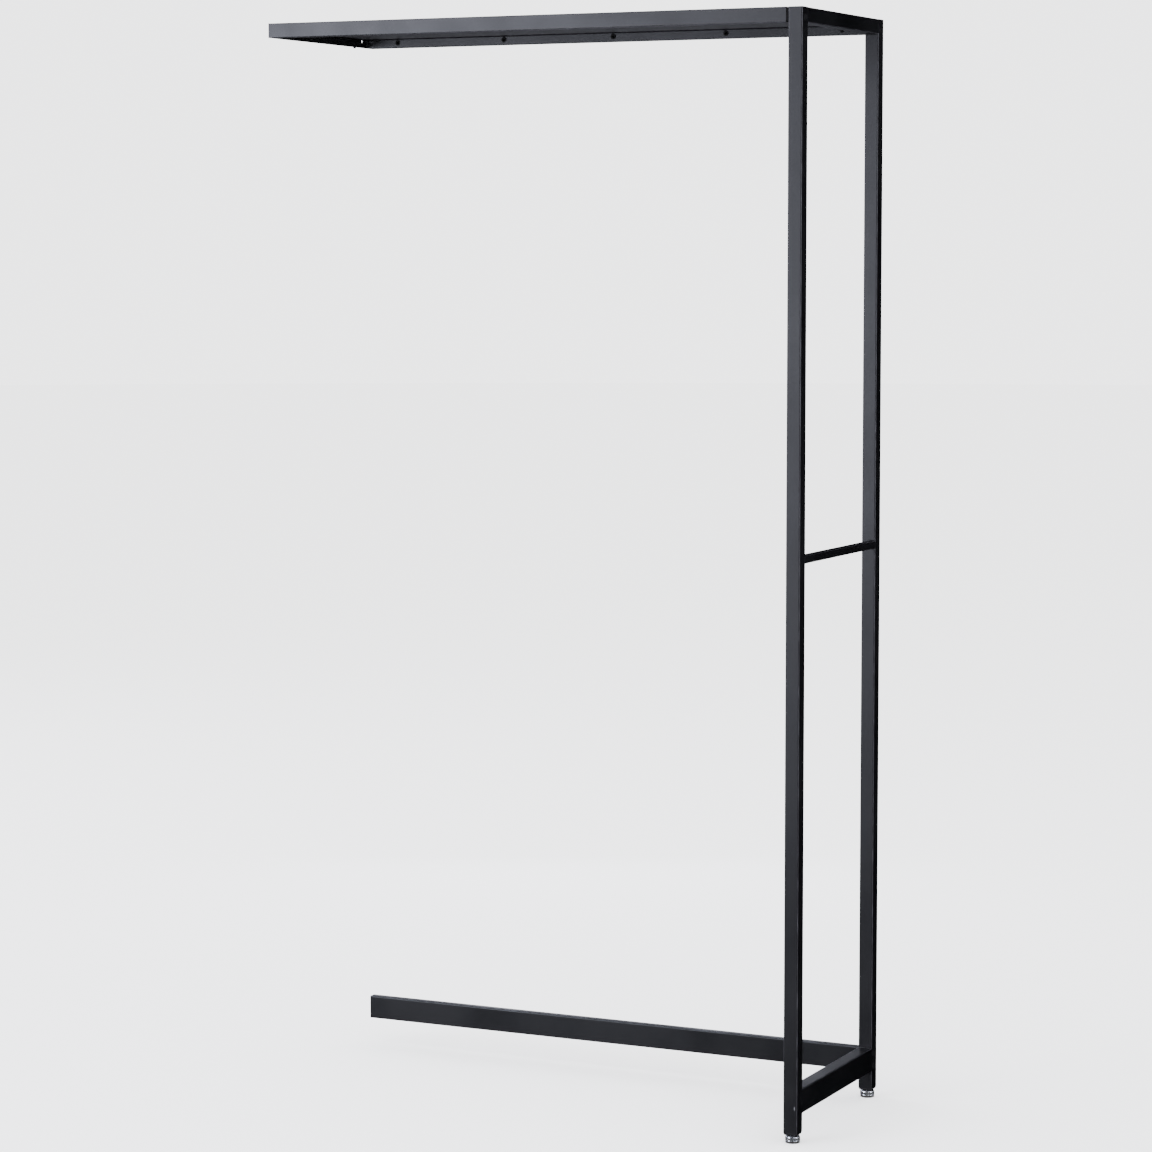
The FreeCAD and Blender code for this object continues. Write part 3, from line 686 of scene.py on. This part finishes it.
# %% [markdown]
# ## Levelling feet: ribbed soles
#
# The sole is moulded rubber that stays still while the cup turns on it. Underneath it has ring-shaped ribs
# for grip, and small notches run round its rim. The ribs are in the profile, and the notches are a cosine of
# the angle that draws the rim in a little, fading to nothing towards the middle.

# %% Soles
RIB_DEPTH = 0.6 * MM
NOTCHES, NOTCH_DEPTH, POINTS_PER_NOTCH = 36, 0.22 * MM, 6
RIBS = np.array([(4.0, 6.2), (8.0, 10.2)]) * MM  # inner and outer radius of each rib
RIM_START, BOSS = 12.2 * MM, 11 * MM  # radii
SMALL, RIM_EASE = 0.2 * MM, 0.9 * MM  # roundings

for end in ("front", "rear"):
    low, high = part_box(f"{end}_foot_sole")
    radius = (high.x - low.x) / 2
    under = low.z + RIB_DEPTH
    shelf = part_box(f"{end}_foot_cup")[0].z - SOLE_GAP
    section = [(0, under, 0)]
    for inner, outer in RIBS:
        section += [(inner, under, SMALL), (inner, low.z, SMALL)]
        section += [(outer, low.z, SMALL), (outer, under, SMALL)]
    section += [(RIM_START, under, SMALL), (RIM_START, low.z, SMALL), (radius, low.z, RIM_EASE)]
    section += [(radius, shelf, SMALL), (BOSS, shelf, SMALL), (BOSS, high.z, SMALL), (0, high.z, 0)]
    profile = profile_of(section, steps=5)
    sole = lathe(profile, around=NOTCHES * POINTS_PER_NOTCH)
    angle = np.arctan2(sole[..., 1], sole[..., 0])
    near_rim = np.clip((profile[:, :1] - RIM_START) / (radius - RIM_START), 0, 1)
    draw_in = NOTCH_DEPTH * near_rim * np.clip(np.cos(NOTCHES * angle) * 2 - 1, 0, 1)
    sole[..., :2] *= 1 - (draw_in / radius)[..., None]
    make_piece(
        f"{end}_foot_ribbed_sole", [sole + axis_of(f"{end}_foot_sole")], rubber,
        f"{end}_foot_pad", [f"{end}_foot_sole"],
    )

# %% [markdown]
# ## Foot inserts
#
# A nylon insert closes the lower end of each post and holds the captive nut. Only its flange shows below the
# tube. Its outline is a square with round corners and its bore is round, so each row of the grid is a curve
# between the two: a superellipse, whose power is 2 for a circle and high for a rounded square. The rows run
# from the bore under the flange, round its edge, up the plug and back down the bore, which closes the ring.

# %% Inserts
BORE, NUT_POCKET = 5.4 * MM, 10.2 * MM  # radii
PLUG_INSET = 0.8 * MM  # how much narrower the plug is than the flange
EASE, EASE_MIDDLE = 0.5 * MM, 0.15 * MM  # an eased edge, and how far in its middle point is
SQUARE = 14.0  # power of a square with small round corners


def superellipse(half, power, height, around=96):
    """Radius = half / (|cos a|^n + |sin a|^n)^(1/n) at each angle a, n being the power."""
    a = np.linspace(0, 2 * np.pi, around, endpoint=False)
    half, power, height = (np.asarray(v, float)[:, None] for v in (half, power, height))
    r = half / (np.abs(np.cos(a)) ** power + np.abs(np.sin(a)) ** power) ** (1 / power)
    return np.stack([r * np.cos(a), r * np.sin(a), np.broadcast_to(height, r.shape)], axis=-1)


for end in ("front", "rear"):
    low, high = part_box(f"{end}_foot_insert")
    nut_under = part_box(f"{end}_foot_nut")[0].z
    half, flange_top = (high.x - low.x) / 2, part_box(f"{end}_post")[0].z
    plug = half - PLUG_INSET
    rows = [
        (BORE + EASE, 2, low.z),
        (half - EASE, SQUARE, low.z),
        (half - EASE_MIDDLE, SQUARE, low.z + EASE_MIDDLE),
        (half, SQUARE, low.z + EASE),
        (half, SQUARE, flange_top - EASE),
        (half - EASE_MIDDLE, SQUARE, flange_top - EASE_MIDDLE),
        (half - EASE, SQUARE, flange_top),
        (plug, SQUARE, flange_top),
        (plug, SQUARE, high.z - EASE),
        (plug - EASE, SQUARE, high.z),
        (NUT_POCKET, 2, high.z),
        (NUT_POCKET, 2, nut_under),
        (BORE, 2, nut_under),
        (BORE, 2, low.z + EASE),
    ]
    insert = superellipse(*np.array(rows).T) + axis_of(f"{end}_foot_insert")
    make_piece(
        f"{end}_foot_moulded_insert", [insert], nylon, "frame",
        [f"{end}_foot_insert"], ring=True,
    )

# %% [markdown]
# ## Rivet nuts
#
# Five rivet nuts sit in a row along the inner face of the rear top beam, ready for a back panel or a sign.
# They are taken to be as black as the beam and a little duller, so each reads as a dark ring. One nut is a
# ring-shaped section turned about an axis that runs rearwards; the others are the same array moved along.

# %% Rivet nuts
NUTS = 5
NUT_BORE, NUT_LEAD, SHANK = 2.5 * MM, 0.5 * MM, 4.2 * MM  # radii, the lead being how much wider the mouth is
COLLAR, COLLAR_EDGE, SHANK_EDGE = 0.8 * MM, 0.45 * MM, 0.1 * MM
NUT_PITCH, NUT_THREAD, THREAD_START = 1.0 * MM, 0.18 * MM, 0.4 * MM

low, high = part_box("rear_beam_rivet_nuts")
flange, depth = (high.z - low.z) / 2, high.y - low.y
ripple = np.linspace(depth, THREAD_START, 48)
inside = np.stack([NUT_BORE + NUT_THREAD * (np.cos(2 * np.pi * ripple / NUT_PITCH) < 0), ripple], axis=-1)
outside = profile_of(
    [
        (NUT_BORE + NUT_LEAD, 0, 0),
        (flange, 0, COLLAR_EDGE),
        (flange, COLLAR, SHANK_EDGE),
        (SHANK, COLLAR, SHANK_EDGE),
        (SHANK, depth, 0),
    ]
)
section = np.concatenate([outside, inside])
along = np.linspace(low.x + flange, high.x - flange, NUTS)
nuts = [lathe(section, 40, "Y") + (x, low.y, (low.z + high.z) / 2) for x in along]
make_piece(
    "rear_beam_rivet_nut_row", nuts, block_coat, "frame",
    ["rear_beam_rivet_nuts"], ring=True,
)

# %% [markdown]
# ## Hole plugs
#
# The joint bolts are put in through holes in the posts' outer faces, and a nylon plug closes each hole. The
# plug is a shallow dome with a fine rim, level with the steel. Two close the bolts of the top frame and two
# those of the bottom beam; the bolts' own boxes say where.

# %% Hole plugs
HEAD = 6.5 * MM  # radius of a bolt head
HEAD_ROOM, PLUG_PLAY = 1.0 * MM, 0.05 * MM  # how much wider the hole is than the head, and than the plug
DOME, WALL = 0.4 * MM, 1.2 * MM

low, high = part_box("bolt_hole_plugs")
top_low, top_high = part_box("top_frame_bolts")
foot_low, foot_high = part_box("bottom_beam_bolts")
spots = [(y, (top_low.z + top_high.z) / 2) for y in (top_low.y + HEAD, top_high.y - HEAD)]
spots += [((foot_low.y + foot_high.y) / 2, z) for z in (foot_low.z + HEAD, foot_high.z - HEAD)]
radius, long = HEAD + HEAD_ROOM - PLUG_PLAY, high.x - low.x
plug = profile_of(
    [
        (0, DOME, 0),
        (radius * 0.45, DOME * 0.8, 1.2 * MM),
        (radius * 0.86, -0.05 * MM, 0.2 * MM),
        (radius * 0.9, -0.3 * MM, 0.1 * MM),
        (radius * 0.94, 0, 0.15 * MM),
        (radius, 0, 0.15 * MM),
        (radius, -long, 0.3 * MM),
        (radius - WALL, -long, 0.3 * MM),
        (radius - WALL, -WALL, 0.3 * MM),
        (0, -WALL, 0),
    ]
)
plugs = [lathe(plug, 56, "X") + (high.x, y, z) for y, z in spots]
make_piece("moulded_hole_plugs", plugs, nylon, "frame", ["bolt_hole_plugs"])

# %% [markdown]
# ## Drop-in panel
#
# The panel is a 12 mm board that lies on the ledges of the top beams. It could be a box with a bevel
# modifier. A grid does the same without one: the rounded outline of the board, drawn in by a different amount
# on each row, from the middle of the underside round the eased edge to the middle of the top.

# %% Panel
PANEL_CORNER, PANEL_EASE = 1.5 * MM, 0.8 * MM

low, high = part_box("top_panel")
half = np.array([(high.x - low.x) / 2, (high.y - low.y) / 2])
corners = [(-half[0], -half[1]), (half[0], -half[1]), half, (-half[0], half[1])]
outline = rounded(corners, PANEL_CORNER, ring=True)
shortest = half.min()
section = profile_of(
    [(shortest, low.z, 0), (0, low.z, PANEL_EASE), (0, high.z, PANEL_EASE), (shortest, high.z, 0)], steps=7
)
drawn_in, height = section[:, :1, None], section[:, 1:]
flat = outline[None] * (1 - drawn_in / shortest)
board = np.concatenate([flat, np.broadcast_to(height[..., None], (len(section), len(outline), 1))], axis=-1)
board += np.array([(low.x + high.x) / 2, (low.y + high.y) / 2, 0])
make_piece("laminated_panel", [board], laminate, "frame", ["top_panel"])

# %% [markdown]
# ## Welds
#
# The rails are welded between the posts. Where two faces meet in a corner there is a small rounded bead with
# a ripple every few millimetres, and where they are flush the seam was dressed, so only a low swell is left.
# Both are one shape: an ellipse carried along a line, its size rippling on the way and falling to nothing at
# the two ends. The coat runs over them, so they share its material.

# %% Weld beads
BEAD = 2.3 * MM
SWELL_WIDE, SWELL_HIGH = 2.6 * MM, 1.2 * MM
RIPPLE, POINTS_PER_RIPPLE = 2.6 * MM, 6
SUNK, INSET = 0.5 * MM, 2 * MM  # how deep a bead's middle lies in the corner, and how far in it starts
SWELL_SUNK, SWELL_BACK = 0.9 * MM, 1 * MM  # the same depth for a swell, and how far it is moved onto the post


def bead(start, end, side_a, side_b, size_a=BEAD, size_b=BEAD, around=16):
    """An ellipse round the line: start + s (end - start) + k (a cos v + b sin v), a and b being the sides
    times their sizes. k = (1 - |2s - 1|^12)^(1/2) (1 + 0.1 |sin(pi d / ripple)| + 0.04 sin(7.3 s + 90 z)),
    d being the distance along the line and z the height of its start. It ripples and closes at both ends."""
    start, end = np.asarray(start, float), np.asarray(end, float)
    length = np.linalg.norm(end - start)
    s = np.linspace(0, 1, max(int(length / RIPPLE * POINTS_PER_RIPPLE), 24))[:, None, None]
    v = np.linspace(0, 2 * np.pi, around, endpoint=False)[None, :, None]
    taper = np.sqrt(np.clip(1 - np.abs(2 * s - 1) ** 12, 0, 1))
    ripple = 0.1 * np.abs(np.sin(np.pi * s * length / RIPPLE))
    k = taper * (1 + ripple + 0.04 * np.sin(7.3 * s + start[2] * 90))
    across = np.asarray(side_a, float) * size_a * np.cos(v) + np.asarray(side_b, float) * size_b * np.sin(v)
    return start + s * (end - start) + k * across


def rail_welds(rail, flush_inside):
    """Beads over, under and beside a rail at both posts, and swells on its flush sides."""
    low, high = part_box(rail)
    beads = []
    for y, into in ((low.y, 1), (high.y, -1)):
        root = y + into * SUNK
        for z in (low.z + SUNK, high.z - SUNK):
            if abs(z - cad_high.z) > 2 * SUNK:  # the top of the frame is flush and has no corner to fill
                ends = (low.x + INSET, root, z), (high.x - INSET, root, z)
                beads.append(bead(*ends, (0, 1, 0), (0, 0, 1)))
        if not flush_inside:
            ends = (low.x + SUNK, root, low.z + INSET), (low.x + SUNK, root, high.z - INSET)
            beads.append(bead(*ends, (1, 0, 0), (0, 1, 0)))
        seam = y - into * SWELL_BACK
        for x, used in ((high.x - SWELL_SUNK, True), (low.x + SWELL_SUNK, flush_inside)):
            if used:
                ends = (x, seam, low.z + INSET), (x, seam, high.z - INSET)
                beads.append(bead(*ends, (1, 0, 0), (0, 1, 0), SWELL_HIGH, SWELL_WIDE))
    return beads


for rail, flush_inside in (("end_top_rail", True), ("end_mid_rail", False), ("end_bottom_rail", True)):
    make_piece(f"{rail}_welds", rail_welds(rail, flush_inside), piece_coat, "frame")

# %% [markdown]
# ## Plate welds
#
# The left end plate is welded to the ends of the top beams, with a short bead in the corner between the
# plate and each beam's ledge. The function for the rails' beads makes these too.

# %% Plate welds
PLATE_WELD_FROM, PLATE_WELD_TO = 2 * MM, 16 * MM  # heights above the underside of the beam

plate_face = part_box("left_end_plate")[1].x
beads = []
for beam, side in (("front_top_beam", 1), ("rear_top_beam", -1)):
    low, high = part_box(beam)
    y = high.y if side > 0 else low.y
    ends = (plate_face, y, low.z + PLATE_WELD_FROM), (plate_face, y, low.z + PLATE_WELD_TO)
    beads.append(bead(*ends, (1, 0, 0), (0, 1, 0)))
make_piece("end_plate_welds", beads, piece_coat, "frame")

# %% [markdown]
# ## The size of the model
#
# The visual model must keep the CAD model's size. Both boxes are measured and printed.

# %% Sizes
new_low, new_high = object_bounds()
sizes = {"cad": [list(cad_low), list(cad_high)], "visual": [list(new_low), list(new_high)]}
for name, (low, high) in sizes.items():
    print(name, [round(value / MM, 2) for value in (*low, *high)])
